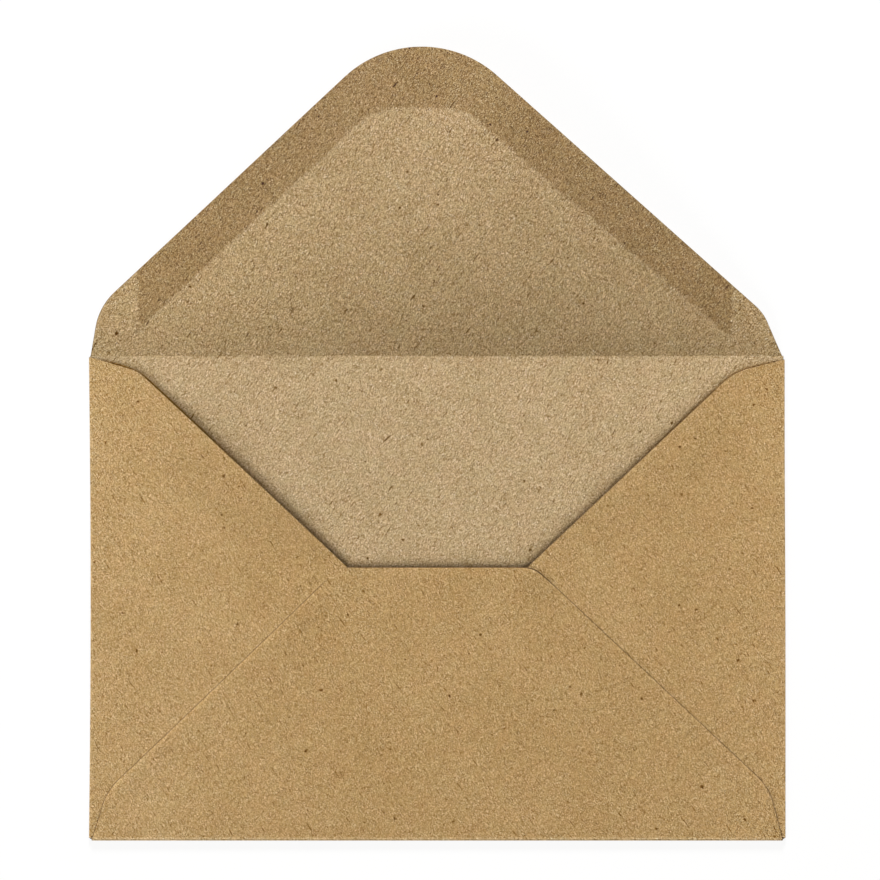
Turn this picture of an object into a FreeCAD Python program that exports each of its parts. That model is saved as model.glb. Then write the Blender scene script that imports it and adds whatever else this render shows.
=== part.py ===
"""An empty gummed envelope of recycled kraft paper, back side up, with its pointed flap open.

One blank is folded four times: the side flaps come in over the front panel, the bottom flap comes up
over them and is glued along two slanted seams, and the top flap lies open with a band of dried gum.

Millimetres and degrees. +X runs to the right, +Y towards the open flap and +Z up. The front panel lies
on z = 0, and the origin is at the centre of the body, on the face that the envelope lies on.
"""
import FreeCAD, Part
import math
import os

import Sketcher

Vector = FreeCAD.Vector

# how a sketch counts the ends of a line or arc, and names its own origin and x axis
START, END, CENTRE = 1, 2, 3
ORIGIN = (-1, START)
X_AXIS = -1
HALF_TURN = 180.0

SIZES = [
    # the folded body and the paper
    ("body_width", 162.0),
    ("body_height", 112.7),
    ("paper_thickness", 0.15),
    ("side_fold_gap", 0.25),
    ("seam_film", 0.06),
    ("pocket_rise", 1.4),
    # the open flap: how far each foot and the point stand from the body's sides and from the crease
    ("flap_left_inset", 0.1),
    ("flap_right_inset", 0.3),
    ("left_foot_inset", 2.35),
    ("left_foot_rise", 11.5),
    ("left_foot_radius", 14.4),
    ("right_foot_inset", 5.23),
    ("right_foot_rise", 10.1),
    ("right_foot_radius", 11.0),
    ("point_lean", 4.08),
    ("point_rise", 81.12),
    ("point_radius", 26.3),
    ("flap_start_angle", 12.5),
    ("flap_curl_radius", 410.0),
    # the band of gum on the flap
    ("gum_film", 0.03),
    ("gum_left_end", 10.7),
    ("gum_right_end", 11.75),
    ("gum_left_width", 9.8),
    ("gum_right_low_width", 7.4),
    ("gum_right_top_width", 9.8),
    ("gum_point_width", 14.2),
    ("gum_left_corner_radius", 14.0),
    ("gum_right_corner_radius", 9.0),
    # the side flaps
    ("left_top_notch", 0.25),
    ("right_top_notch", 0.8),
    ("foot_notch", 0.6),
    ("left_shoulder_inset", 11.63),
    ("left_shoulder_drop", 3.26),
    ("left_shoulder_radius", 7.4),
    ("right_shoulder_inset", 11.61),
    ("right_shoulder_drop", 3.84),
    ("right_shoulder_radius", 13.6),
    ("left_tip_reach", 67.9),
    ("right_tip_reach", 67.8),
    ("side_tip_radius", 6.0),
    # the bottom flap
    ("bottom_flap_reach", 63.57),
    ("bottom_flap_top_width", 45.42),
    ("bottom_flap_corner_radius", 5.8),
    ("bottom_flap_foot_inset", 0.6),
    ("left_hip_inset", 4.07),
    ("left_hip_rise", 11.7),
    ("right_hip_inset", 3.75),
    ("right_hip_rise", 12.4),
    ("hip_radius", 13.7),
    # the glue under the bottom flap's slanted edges, measured across the sheet
    ("seam_glue_margin", 3.0),
    ("seam_glue_width", 8.0),
    ("seam_glue_top_gap", 5.5),
    ("seam_glue_hip_gap", 5.5),
]


class Size:
    """A size: its value now, and the expression over the sheet's cells that keeps it."""

    def __init__(self, value, text):
        self.value = value
        self.text = text

    def __add__(self, other):
        other = as_size(other)
        return Size(self.value + other.value, f"({self.text} + {other.text})")

    def __sub__(self, other):
        other = as_size(other)
        return Size(self.value - other.value, f"({self.text} - {other.text})")

    def __mul__(self, other):
        other = as_size(other)
        return Size(self.value * other.value, f"({self.text} * {other.text})")

    def __truediv__(self, other):
        other = as_size(other)
        return Size(self.value / other.value, f"({self.text} / {other.text})")

    def __neg__(self):
        return Size(-self.value, f"(0 - {self.text})")


def as_size(number):
    return number if isinstance(number, Size) else Size(float(number), f"{number}")


def sine(angle):
    return Size(math.sin(math.radians(angle.value)), f"sin({angle.text})")


def cosine(angle):
    return Size(math.cos(math.radians(angle.value)), f"cos({angle.text})")


def tangent(angle):
    return Size(math.tan(math.radians(angle.value)), f"tan({angle.text})")


def length_of(x, y):
    return Size(math.hypot(x.value, y.value), f"sqrt({x.text} ^ 2 + {y.text} ^ 2)")


doc = FreeCAD.newDocument("envelope")
sheet = doc.addObject("Spreadsheet::Sheet", "sizes")
for row, (alias, number) in enumerate(SIZES, start=1):
    sheet.set(f"A{row}", alias)
    sheet.set(f"B{row}", str(number))
    sheet.setAlias(f"B{row}", alias)
doc.recompute()

size = {alias: Size(float(sheet.get(alias)), f"sizes.{alias}") for alias, number in SIZES}

# the fold lines and levels that every piece shares
paper = size["paper_thickness"]
gap = size["side_fold_gap"]
crease_y = size["body_height"] / 2
bottom_y = -crease_y
side_x = size["body_width"] / 2
side_fold_radius = gap / 2 + paper
side_fold_x = side_x - side_fold_radius
bottom_gap = gap + paper + size["seam_film"]
bottom_fold_radius = bottom_gap / 2 + paper
bottom_fold_y = bottom_y + bottom_fold_radius
side_flap_level = paper + gap
seam_level = side_flap_level + paper
bottom_flap_level = seam_level + size["seam_film"]

# the flap's curl, an arc about a line across the envelope, below the table
curl_radius = size["flap_curl_radius"]
curl_centre_y = crease_y + curl_radius * sine(size["flap_start_angle"])
curl_centre_z = -(curl_radius * cosine(size["flap_start_angle"]))
flap_end_y = crease_y + size["point_rise"]
tallest = size["point_rise"] * tangent(size["flap_start_angle"]) + bottom_flap_level + size["pocket_rise"]

# corners of the flap and of the bottom flap, as they meet before they are cut round
left_foot = (size["left_foot_inset"] - side_x, crease_y + size["left_foot_rise"])
right_foot = (side_x - size["right_foot_inset"], crease_y + size["right_foot_rise"])
point = (-size["point_lean"], flap_end_y)
bottom_flap_top_y = bottom_y + size["bottom_flap_reach"]
bottom_flap_half_top = size["bottom_flap_top_width"] / 2
bottom_flap_foot_x = side_x - size["bottom_flap_foot_inset"]
left_hip = (size["left_hip_inset"] - side_x, bottom_y + size["left_hip_rise"])
right_hip = (side_x - size["right_hip_inset"], bottom_y + size["right_hip_rise"])


def bind(thing, path, amount):
    """Ties a property of an object to the sheet."""
    thing.setExpression(path, amount.text)


def rule(sketch, kind, *places):
    """Adds a constraint that needs no size."""
    sketch.addConstraint(Sketcher.Constraint(kind, *places))


def sized_rule(sketch, kind, *places, amount):
    """Adds a constraint whose size is tied to the sheet."""
    number = sketch.addConstraint(Sketcher.Constraint(kind, *places, amount.value))
    bind(sketch, f"Constraints[{number}]", amount)


def place_along(sketch, kind, geometry, end, amount):
    """Fixes one coordinate of a point of a sketch, from the origin."""
    if amount.value < 0:
        sized_rule(sketch, kind, geometry, end, *ORIGIN, amount=-amount)
    else:
        sized_rule(sketch, kind, *ORIGIN, geometry, end, amount=amount)


def place_point(sketch, geometry, end, x, y):
    """Fixes one point of a sketch at x, y from the origin."""
    place_along(sketch, "DistanceX", geometry, end, x)
    place_along(sketch, "DistanceY", geometry, end, y)


def directions(along_x, along_y, along_z):
    """The turn that takes a shape's own axes to these directions."""
    return FreeCAD.Rotation(Vector(*along_x), Vector(*along_y), Vector(*along_z), "ZXY")


def rounding(before, corner, after, radius):
    """Where an arc of this radius leaves and joins the two sides of a corner, and its centre."""
    back = (before - corner).normalize()
    on = (after - corner).normalize()
    half_angle = math.acos(max(-1.0, min(1.0, back.dot(on)))) / 2
    run = radius / math.tan(half_angle)
    centre = corner + (back + on).normalize() * (radius / math.sin(half_angle))
    return corner + back * run, corner + on * run, centre


def arc_between(start, end, centre, turns_left):
    """The arc from start to end about a centre, as a sketch keeps it: counter-clockwise."""
    first, last = (start, end) if turns_left else (end, start)
    first_angle = math.atan2(first.y - centre.y, first.x - centre.x)
    last_angle = math.atan2(last.y - centre.y, last.x - centre.x)
    if last_angle < first_angle:
        last_angle += 2 * math.pi
    circle = Part.Circle(centre, Vector(0, 0, 1), (start - centre).Length)
    return Part.ArcOfCircle(circle, first_angle, last_angle)


def outline_sketch(name, corners):
    """A closed outline, counter-clockwise. A corner is (x, y), or (x, y, radius) where it is cut round."""
    sketch = doc.addObject("Sketcher::SketchObject", name)
    spots = [Vector(corner[0].value, corner[1].value, 0) for corner in corners]
    count = len(corners)
    cuts = []
    for n, corner in enumerate(corners):
        before, spot, after = spots[n - 1], spots[n], spots[(n + 1) % count]
        if len(corner) == 3:
            start, end, centre = rounding(before, spot, after, corner[2].value)
            turns_left = (spot - before).cross(after - spot).z > 0
            cuts.append((start, end, centre, turns_left))
        else:
            cuts.append((spot, spot, None, True))
    lines = [
        sketch.addGeometry(Part.LineSegment(cuts[n][1], cuts[(n + 1) % count][0]))
        for n in range(count)
    ]
    for n, corner in enumerate(corners):
        line_in, line_out = lines[n - 1], lines[n]
        if len(corner) == 2:
            rule(sketch, "Coincident", line_in, END, line_out, START)
            place_point(sketch, line_out, START, *corner)
            continue
        x, y, radius = corner
        start, end, centre, turns_left = cuts[n]
        arc = sketch.addGeometry(arc_between(start, end, centre, turns_left))
        arc_start, arc_end = (START, END) if turns_left else (END, START)
        rule(sketch, "Tangent", line_in, END, arc, arc_start)
        rule(sketch, "Tangent", arc, arc_end, line_out, START)
        sized_rule(sketch, "Radius", arc, amount=radius)
        virtual = sketch.addGeometry(Part.Point(spots[n]), True)
        rule(sketch, "PointOnObject", virtual, START, line_in)
        rule(sketch, "PointOnObject", virtual, START, line_out)
        place_point(sketch, virtual, START, x, y)
    return sketch


def upright_sketch(name):
    """A sketch on the plane that runs along the envelope: its x is the body's +Y and its y is +Z."""
    sketch = doc.addObject("Sketcher::SketchObject", name)
    sketch.Placement = FreeCAD.Placement(Vector(), directions((0, 1, 0), (0, 0, 1), (1, 0, 0)))
    return sketch


def add_curl_arc(sketch, radius, from_y):
    """Adds an arc of the flap's curl, from a distance along the sheet to the flap's end. It starts there."""
    centre = Vector(curl_centre_y.value, curl_centre_z.value, 0)
    first = math.acos((flap_end_y.value - centre.x) / radius.value)
    last = math.acos((from_y - centre.x) / radius.value)
    circle = Part.Circle(centre, Vector(0, 0, 1), radius.value)
    arc = sketch.addGeometry(Part.ArcOfCircle(circle, first, last))
    place_point(sketch, arc, CENTRE, curl_centre_y, curl_centre_z)
    sized_rule(sketch, "Radius", arc, amount=radius)
    return arc


def front_profile():
    """The section of the front panel and the open flap: flat up to the crease, then rising in an arc."""
    sketch = upright_sketch("front_profile")
    upper_radius = curl_radius + paper
    height_over_centre = paper.value - curl_centre_z.value
    valley_y = curl_centre_y.value - math.sqrt(upper_radius.value**2 - height_over_centre**2)
    lower = add_curl_arc(sketch, curl_radius, crease_y.value)
    upper = add_curl_arc(sketch, upper_radius, valley_y)
    foot = Vector(bottom_fold_y.value, 0, 0)
    foot_top = Vector(bottom_fold_y.value, paper.value, 0)
    lower_tip, crease = sketch.Geometry[lower].StartPoint, sketch.Geometry[lower].EndPoint
    upper_tip, valley = sketch.Geometry[upper].StartPoint, sketch.Geometry[upper].EndPoint
    under = sketch.addGeometry(Part.LineSegment(foot, crease))
    tip = sketch.addGeometry(Part.LineSegment(lower_tip, upper_tip))
    over = sketch.addGeometry(Part.LineSegment(valley, foot_top))
    heel = sketch.addGeometry(Part.LineSegment(foot_top, foot))
    rule(sketch, "Coincident", under, END, lower, END)
    rule(sketch, "Coincident", lower, START, tip, START)
    rule(sketch, "Coincident", tip, END, upper, START)
    rule(sketch, "Coincident", upper, END, over, START)
    rule(sketch, "Coincident", over, END, heel, START)
    rule(sketch, "Coincident", heel, END, under, START)
    rule(sketch, "PointOnObject", under, START, X_AXIS)
    rule(sketch, "PointOnObject", under, END, X_AXIS)
    rule(sketch, "Horizontal", over)
    rule(sketch, "Vertical", tip)
    rule(sketch, "Vertical", heel)
    place_point(sketch, heel, START, bottom_fold_y, paper)
    place_along(sketch, "DistanceX", tip, START, flap_end_y)
    return sketch


def gum_profile():
    """The section of the gum: a film that follows the top of the flap."""
    sketch = upright_sketch("gum_profile")
    lower_radius = curl_radius + paper
    lower = add_curl_arc(sketch, lower_radius, crease_y.value)
    upper = add_curl_arc(sketch, lower_radius + size["gum_film"], crease_y.value)
    arcs = [sketch.Geometry[arc] for arc in (lower, upper)]
    for arc_end, spots, end_y in (
        (START, [arc.StartPoint for arc in arcs], flap_end_y),
        (END, [arc.EndPoint for arc in arcs], crease_y),
    ):
        line = sketch.addGeometry(Part.LineSegment(*spots))
        rule(sketch, "Coincident", line, START, lower, arc_end)
        rule(sketch, "Coincident", line, END, upper, arc_end)
        rule(sketch, "Vertical", line)
        place_along(sketch, "DistanceX", line, START, end_y)
    return sketch


def extrusion(name, sketch, direction, amount, both_ways=False):
    """A solid that a closed sketch sweeps along a direction."""
    solid = doc.addObject("Part::Extrusion", name)
    solid.Base = sketch
    solid.DirMode = "Custom"
    solid.Dir = direction
    solid.Solid = True
    solid.Symmetric = both_ways
    bind(solid, "LengthFwd", amount)
    return solid


def common(name, first, second):
    """What two solids share."""
    shared = doc.addObject("Part::Common", name)
    shared.Base = first
    shared.Tool = second
    return shared


def lifted_slab(name, underside, thickness):
    """A slab over the whole body that follows the pocket's rise: level along the sides and the bottom
    fold, and highest at the middle of the mouth. With u from -1 to 1 across and v from 0 to 1 along, the
    rise is (1 - u^2) v (2 - v), which these poles of a surface of degree two give exactly."""
    across = (0.0, 2.0, 0.0)
    along = (0.0, 1.0, 1.0)
    xs = (-side_fold_x.value, 0.0, side_fold_x.value)
    mid_y = (bottom_fold_y.value + crease_y.value) / 2
    ys = (bottom_fold_y.value, mid_y, crease_y.value)
    surface = Part.BezierSurface()
    surface.increase(2, 2)
    for i, x in enumerate(xs):
        for j, y in enumerate(ys):
            z = underside.value + size["pocket_rise"].value * across[i] * along[j]
            surface.setPole(i + 1, j + 1, Vector(x, y, z))
    slab = doc.addObject("Part::Feature", name)
    slab.Shape = surface.toShape().extrude(Vector(0, 0, thickness.value))
    return slab


def half_tube(name, radius, inner_radius, length, turn, base):
    """A fold: half a tube of paper. The turn gives its directions, and base is where its axis starts."""
    rolls = []
    for part_name, roll_radius in ((f"{name}_outside", radius), (f"{name}_inside", inner_radius)):
        roll = doc.addObject("Part::Cylinder", part_name)
        roll.Angle = HALF_TURN
        roll.Placement = FreeCAD.Placement(Vector(*(place.value for place in base)), turn)
        bind(roll, "Radius", roll_radius)
        bind(roll, "Height", length)
        for letter, place in zip("xyz", base):
            bind(roll, f"Placement.Base.{letter}", place)
        rolls.append(roll)
    fold = doc.addObject("Part::Cut", name)
    fold.Base, fold.Tool = rolls
    return fold


def front_and_flap():
    """The front panel and the open flap, which the crease divides."""
    outline = outline_sketch(
        "front_outline",
        [
            (-side_fold_x, bottom_fold_y),
            (side_fold_x, bottom_fold_y),
            (side_fold_x, crease_y),
            (side_fold_x - size["flap_right_inset"], crease_y),
            (*right_foot, size["right_foot_radius"]),
            (*point, size["point_radius"]),
            (*left_foot, size["left_foot_radius"]),
            (size["flap_left_inset"] - side_fold_x, crease_y),
            (-side_fold_x, crease_y),
        ],
    )
    blank = extrusion("front_blank", outline, Vector(0, 0, 1), tallest)
    section = extrusion("front_section", front_profile(), Vector(1, 0, 0), size["body_width"], True)
    return common("front_and_flap", section, blank)


def side_flap(side, sign, slab):
    """A side flap and its fold. Its lower edge mirrors its upper one, hidden under the bottom flap."""
    shoulder_drop = size[f"{side}_shoulder_drop"]
    shoulder_radius = size[f"{side}_shoulder_radius"]
    top_y = crease_y - size[f"{side}_top_notch"]
    foot_y = bottom_y + size["foot_notch"]
    shoulder_x = (side_x - size[f"{side}_shoulder_inset"]) * sign
    tip_x = (side_x - size[f"{side}_tip_reach"]) * sign
    corners = [
        (side_fold_x * sign, foot_y),
        (side_fold_x * sign, top_y),
        (shoulder_x, crease_y - shoulder_drop, shoulder_radius),
        (tip_x, (crease_y + bottom_y) / 2, size["side_tip_radius"]),
        (shoulder_x, bottom_y + shoulder_drop, shoulder_radius),
    ]
    outline = outline_sketch(f"{side}_flap_outline", corners if sign > 0 else corners[::-1])
    blank = extrusion(f"{side}_flap_blank", outline, Vector(0, 0, 1), tallest)
    fold = half_tube(
        f"{side}_fold",
        side_fold_radius,
        gap / 2,
        top_y - foot_y,
        directions((0, 0, sign), (sign, 0, 0), (0, 1, 0)),
        (side_fold_x * sign, foot_y, side_fold_radius),
    )
    return [common(f"{side}_flap", slab, blank), fold]


def bottom_flap(slab):
    """The bottom flap and its fold, over the side flaps."""
    outline = outline_sketch(
        "bottom_flap_outline",
        [
            (-bottom_flap_foot_x, bottom_fold_y),
            (bottom_flap_foot_x, bottom_fold_y),
            (*right_hip, size["hip_radius"]),
            (bottom_flap_half_top, bottom_flap_top_y, size["bottom_flap_corner_radius"]),
            (-bottom_flap_half_top, bottom_flap_top_y, size["bottom_flap_corner_radius"]),
            (*left_hip, size["hip_radius"]),
        ],
    )
    blank = extrusion("bottom_flap_blank", outline, Vector(0, 0, 1), tallest)
    fold = half_tube(
        "bottom_fold",
        bottom_fold_radius,
        bottom_gap / 2,
        bottom_flap_foot_x * 2,
        directions((0, 0, 1), (0, -1, 0), (1, 0, 0)),
        (-bottom_flap_foot_x, bottom_fold_y, bottom_fold_radius),
    )
    return [common("bottom_flap", slab, blank), fold]


def envelope_sheet():
    """The folded sheet, one piece of paper."""
    side_slab = lifted_slab("side_flap_slab", side_flap_level, paper)
    bottom_slab = lifted_slab("bottom_flap_slab", bottom_flap_level, paper)
    panels = side_flap("left", -1, side_slab) + side_flap("right", 1, side_slab) + bottom_flap(bottom_slab)
    whole = doc.addObject("Part::MultiFuse", "envelope_sheet")
    whole.Shapes = [front_and_flap()] + panels
    whole.Refine = True
    return whole


def height_on_edge(x, start, end):
    """How far along the sheet the straight edge from start to end is, at a distance x across it."""
    return start[1] + (end[1] - start[1]) * (x - start[0]) / (end[0] - start[0])


def slope_and_stretch(start, end):
    """An edge's rise for each millimetre across, and its length for each millimetre across."""
    run, rise = end[0] - start[0], end[1] - start[1]
    return rise / run, length_of(run, rise) / run


def flap_gum():
    """The gum: a band along the flap's two long edges and round its point, cut off square above its feet."""
    left_slope, left_stretch = slope_and_stretch(left_foot, point)
    right_slope, right_stretch = slope_and_stretch(point, right_foot)
    # the top of the flap's round point, where its arc's centre is as far from one long edge as the other
    fall = size["point_radius"] * (left_slope * right_stretch - right_slope * left_stretch)
    flap_top_y = point[1] - fall / (left_slope - right_slope) + size["point_radius"]
    inner_top_y = flap_top_y - size["gum_point_width"]
    # the ends of the band, on the flap's edge and on the band's inner edge
    left_x = size["gum_left_end"] - side_x
    right_x = side_x - size["gum_right_end"]
    left_outer = (left_x, height_on_edge(left_x, left_foot, point))
    right_outer = (right_x, height_on_edge(right_x, right_foot, point))
    left_inner = (left_x, left_outer[1] - size["gum_left_width"] * left_stretch)
    right_inner = (right_x, right_outer[1] - size["gum_right_low_width"] * right_stretch)
    # the band's inner edges run up to its straight inner top
    left_corner_x = left_x + (inner_top_y - left_inner[1]) / left_slope
    under_point = (point[0], point[1] - size["gum_right_top_width"] * right_stretch)
    inner_slope = slope_and_stretch(under_point, right_inner)[0]
    right_corner_x = right_x - (right_inner[1] - inner_top_y) / inner_slope
    outline = outline_sketch(
        "gum_outline",
        [
            left_inner,
            (left_corner_x, inner_top_y, size["gum_left_corner_radius"]),
            (right_corner_x, inner_top_y, size["gum_right_corner_radius"]),
            right_inner,
            right_outer,
            (*point, size["point_radius"]),
            left_outer,
        ],
    )
    blank = extrusion("gum_blank", outline, Vector(0, 0, 1), tallest)
    section = extrusion("gum_section", gum_profile(), Vector(1, 0, 0), size["body_width"], True)
    return common("flap_gum", section, blank)


def seam_glue(side, sign, hip):
    """The film of glue under one slanted edge of the bottom flap, on the side flap."""
    top = (bottom_flap_half_top * sign, bottom_flap_top_y)
    near = size["seam_glue_margin"] * sign
    far = near + size["seam_glue_width"] * sign
    upper_x = top[0] + size["seam_glue_top_gap"] * sign
    lower_x = hip[0] - size["seam_glue_hip_gap"] * sign
    upper_y, lower_y = [height_on_edge(x, top, hip) for x in (upper_x, lower_x)]
    corners = [
        (upper_x - near, upper_y),
        (upper_x - far, upper_y),
        (lower_x - far, lower_y),
        (lower_x - near, lower_y),
    ]
    outline = outline_sketch(f"{side}_seam_outline", corners if sign > 0 else corners[::-1])
    blank = extrusion(f"{side}_seam_blank", outline, Vector(0, 0, 1), tallest)
    slab = lifted_slab(f"{side}_seam_slab", seam_level, size["seam_film"])
    return common(f"{side}_seam_glue", slab, blank)


def write_parts(pieces):
    """Checks every object of the document and each piece, then writes one file for each piece."""
    doc.recompute()
    for thing in doc.Objects:
        if "Invalid" in thing.State or "Error" in thing.State:
            raise RuntimeError(f"{thing.Name} failed: {thing.State}")
    for piece in pieces:
        if piece.Shape.isNull() or not piece.Shape.isValid() or not piece.Shape.Solids:
            raise RuntimeError(f"{piece.Name} has no valid solid")
    os.makedirs("parts", exist_ok=True)
    for piece in pieces:
        piece.Label = piece.Name
        piece.Shape.exportStep(f"parts/{piece.Label}.step")
        print(piece.Label, len(piece.Shape.Solids), round(piece.Shape.Volume, 3), piece.Shape.BoundBox)


write_parts(
    [
        envelope_sheet(),
        flap_gum(),
        seam_glue("left", -1, left_hip),
        seam_glue("right", 1, right_hip),
    ]
)
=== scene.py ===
"""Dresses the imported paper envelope: the kraft sheet, folded up from its flat blank, the dried
gum on its open flap and the glue inside its two seams. Lengths are in millimetres until the
meshes are made."""
import math
from collections import namedtuple

import bpy
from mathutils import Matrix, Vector, kdtree
from mathutils.geometry import delaunay_2d_cdt


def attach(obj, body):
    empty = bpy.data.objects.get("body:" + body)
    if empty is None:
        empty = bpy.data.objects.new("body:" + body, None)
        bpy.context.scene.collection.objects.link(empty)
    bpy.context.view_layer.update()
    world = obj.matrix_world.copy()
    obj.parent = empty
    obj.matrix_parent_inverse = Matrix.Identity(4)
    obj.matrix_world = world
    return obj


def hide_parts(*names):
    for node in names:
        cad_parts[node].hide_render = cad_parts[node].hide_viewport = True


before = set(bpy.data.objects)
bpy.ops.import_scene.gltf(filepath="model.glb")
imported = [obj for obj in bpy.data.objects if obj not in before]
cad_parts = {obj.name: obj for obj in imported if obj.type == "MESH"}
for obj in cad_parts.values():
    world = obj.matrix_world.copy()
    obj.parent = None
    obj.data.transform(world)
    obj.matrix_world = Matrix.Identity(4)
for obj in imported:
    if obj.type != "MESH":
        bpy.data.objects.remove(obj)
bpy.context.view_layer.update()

MM = 0.001

# the paper and its folds, as in the part's source
PAPER = 0.15
HALF = PAPER / 2
SIDE_X = 81.0
SIDE_FOLD_X = 80.725
SIDE_TURN = 0.125 + HALF
CREASE_Y = 56.35
BOTTOM_Y = -56.35
BOTTOM_FOLD_Y = -55.97
BOTTOM_TURN = 0.23 + HALF
SIDE_LEVEL = 0.40
BOTTOM_LEVEL = 0.61
POCKET_RISE = 1.4
CURL_RADIUS = 410.0
START_ANGLE = math.radians(12.5)
GUM_FILM = 0.03

CURL_Y = CREASE_Y + CURL_RADIUS * math.sin(START_ANGLE)
CURL_Z = -CURL_RADIUS * math.cos(START_ANGLE)
CURL_MIDDLE = CURL_RADIUS + HALF
CURL_START = math.acos((HALF - CURL_Z) / CURL_MIDDLE)
VALLEY_Y = CURL_Y - CURL_MIDDLE * math.sin(CURL_START)
SIDE_ARC = math.pi * SIDE_TURN
BOTTOM_ARC = math.pi * BOTTOM_TURN

# the outlines, with their corners as they meet before they are cut round: x, y and radius
POINT = (-4.08, 137.47, 26.3)
LEFT_FOOT = (-78.65, 67.85, 14.4)
RIGHT_FOOT = (75.77, 66.45, 11.0)
FLAP_OUTLINE = [(80.425, CREASE_Y), RIGHT_FOOT, POINT, LEFT_FOOT, (-80.625, CREASE_Y)]
SIDE_FOOT_Y = -55.75
LEFT_TOP_Y = 56.1
RIGHT_TOP_Y = 55.55
LEFT_SHOULDER = (-69.62, 52.85)
RIGHT_SHOULDER = (69.25, 52.66)
LEFT_OUTLINE = [
    (-SIDE_FOLD_X, LEFT_TOP_Y),
    (*LEFT_SHOULDER, 7.4),
    (-13.1, 0.0, 6.0),
    (-69.37, -53.09, 7.4),
    (-SIDE_FOLD_X, SIDE_FOOT_Y),
]
RIGHT_OUTLINE = [
    (SIDE_FOLD_X, SIDE_FOOT_Y),
    (69.39, -52.51, 13.6),
    (13.2, 0.0, 6.0),
    (*RIGHT_SHOULDER, 13.6),
    (SIDE_FOLD_X, RIGHT_TOP_Y),
]
BOTTOM_FOOT_X = 80.4
BOTTOM_TOP_Y = 7.22
BOTTOM_OUTLINE = [
    (-BOTTOM_FOOT_X, BOTTOM_FOLD_Y),
    (-76.93, -44.65, 13.7),
    (-22.71, BOTTOM_TOP_Y, 5.8),
    (22.71, BOTTOM_TOP_Y, 5.8),
    (77.25, -43.95, 13.7),
    (BOTTOM_FOOT_X, BOTTOM_FOLD_Y),
]

# the band of gum: how far its ends stand from the body's sides, how wide it is, and how round
# its inner corners are
GUM_LEFT_END = 10.7
GUM_RIGHT_END = 11.75
GUM_LEFT_WIDTH = 10.8
GUM_RIGHT_LOW_WIDTH = 9.9
GUM_RIGHT_TOP_WIDTH = 11.9
GUM_POINT_WIDTH = 14.9
GUM_LEFT_RADIUS = 14.0
GUM_RIGHT_RADIUS = 9.0

# how finely the sheet and the gum are divided: the grids' spacing, the step along edges, how
# clear of other points a grid point lies, as a share of the spacing, and below what distance
# points count as one; then the steps round a fold, by how much rows beside an edge shorten,
# and where the rows beside the crease lie and end
GRID = 1.15
GUM_GRID = 1.0
EDGE_STEP = 0.8
CLEAR = 0.55
MERGE = 1e-5
TURN_STEPS = 8
ROW_SHORTER = 0.5
ROW_GAP = 0.3
CREASE_STEPS = (-0.3, -0.03, 0.0, 0.1, 0.3)
CREASE_ENDS = (-80.5, 80.3)

# above what angle an edge is sharp
SHARP = math.radians(50)

# how far the cut edge slants, so that its dark colour, partly painted shade, shows as a line: in
# general, on the bottom flap, and at that flap's right upper corner; and over what length the
# corner differs
CUT_SLANT = 0.07
SEAM_SLANT = 0.13
HOOK_SLANT = 0.19
HOOK_REACH = 6.5
# over what depth the gum thins at its inner edge, and what share of it is left there
TAPER = 1.6
FILM_END = 0.02

# how high the open flap stands, read from its shading: factors of powers of the distances
# across it, in half widths, and up from the crease, in flap lengths; and over what length from
# the crease its rise sets in
FLAP_HALF = 80.0
FLAP_LENGTH = 72.0
FLAP_LIFT = {
    (0, 1): 20.15,
    (1, 1): 5.633,
    (2, 1): -6.723,
    (3, 1): -4.368,
    (0, 2): -16.368,
    (1, 2): 4.443,
    (2, 2): -24.943,
    (0, 3): 4.086,
    (1, 3): -5.944,
    (2, 3): 41.737,
}
CREASE_EASE = 0.15

# the edges of the open throat, each with its own flap on its left: the side flaps' slanted
# edges, the top edges that these turn into, and the bottom flap's top
LEFT_DIAGONAL = (Vector((-13.1, 0.0)), Vector(LEFT_SHOULDER))
RIGHT_DIAGONAL = (Vector(RIGHT_SHOULDER), Vector((13.06, 0.15)))
LEFT_TOP = (Vector(LEFT_SHOULDER), Vector((-SIDE_FOLD_X, LEFT_TOP_Y)))
RIGHT_TOP = (Vector((SIDE_FOLD_X, RIGHT_TOP_Y)), Vector(RIGHT_SHOULDER))
THROAT_BOTTOM = (Vector((20.4, BOTTOM_TOP_Y)), Vector((-20.3, BOTTOM_TOP_Y)))

# how far the front panel bows up in the throat: all over, which fades towards the crease, and
# beside the edges, which fades away from them
THROAT_BOW = 0.46
THROAT_FADE = 45.0
THROAT_RIM = 0.56
RIM_FADE = 10.0
# how far past the edges it begins, and over what length it then rises
THROAT_LEAD = 0.3
THROAT_TUCK = 1.2
# the share of the bow that the outer side of the paper takes
OUTER_BOW = 0.35
# the share of the bow that the paper loses at each edge, and over what distance
THROAT_DIPS = (
    (LEFT_DIAGONAL, 1.0, 1.8),
    (RIGHT_DIAGONAL, 0.95, 1.7),
    (THROAT_BOTTOM, 0.7, 2.0),
)
# how far rows of points lie from these edges, past them where it is below zero
THROAT_ROWS = (1.5, 0.9, 0.3, 0.0, -0.35, -0.7, -1.1, -1.6, -2.3, -3.2)

# how far the side flaps' free edges curl up beside the throat, how wide the curl is, over what
# height it begins above the bottom flap, and where across the envelope it ends
LEFT_CURL = 0.8
RIGHT_CURL = 0.5
CURL_WIDTH = 16.0
CURL_CLEAR = 18.0
CURL_END_X = 60.0
CURL_END_FADE = 14.0

# the ridges along the bottom flap's edges, where the glue lifts the paper: edge and height, then
# where the ridge is full, where it begins to fall, and over what distance it falls
LEFT_SEAM = (Vector((-24.9, 5.1)), Vector((-73.0, -41.0)))
RIGHT_SEAM = (Vector((73.4, -40.4)), Vector((24.9, 5.2)))
RIDGES = ((LEFT_SEAM, 0.14), (RIGHT_SEAM, 0.08), (THROAT_BOTTOM, 0.05))
RIDGE_FULL = 0.9
RIDGE_TOP = 1.6
RIDGE_FALL = 5.0
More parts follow.
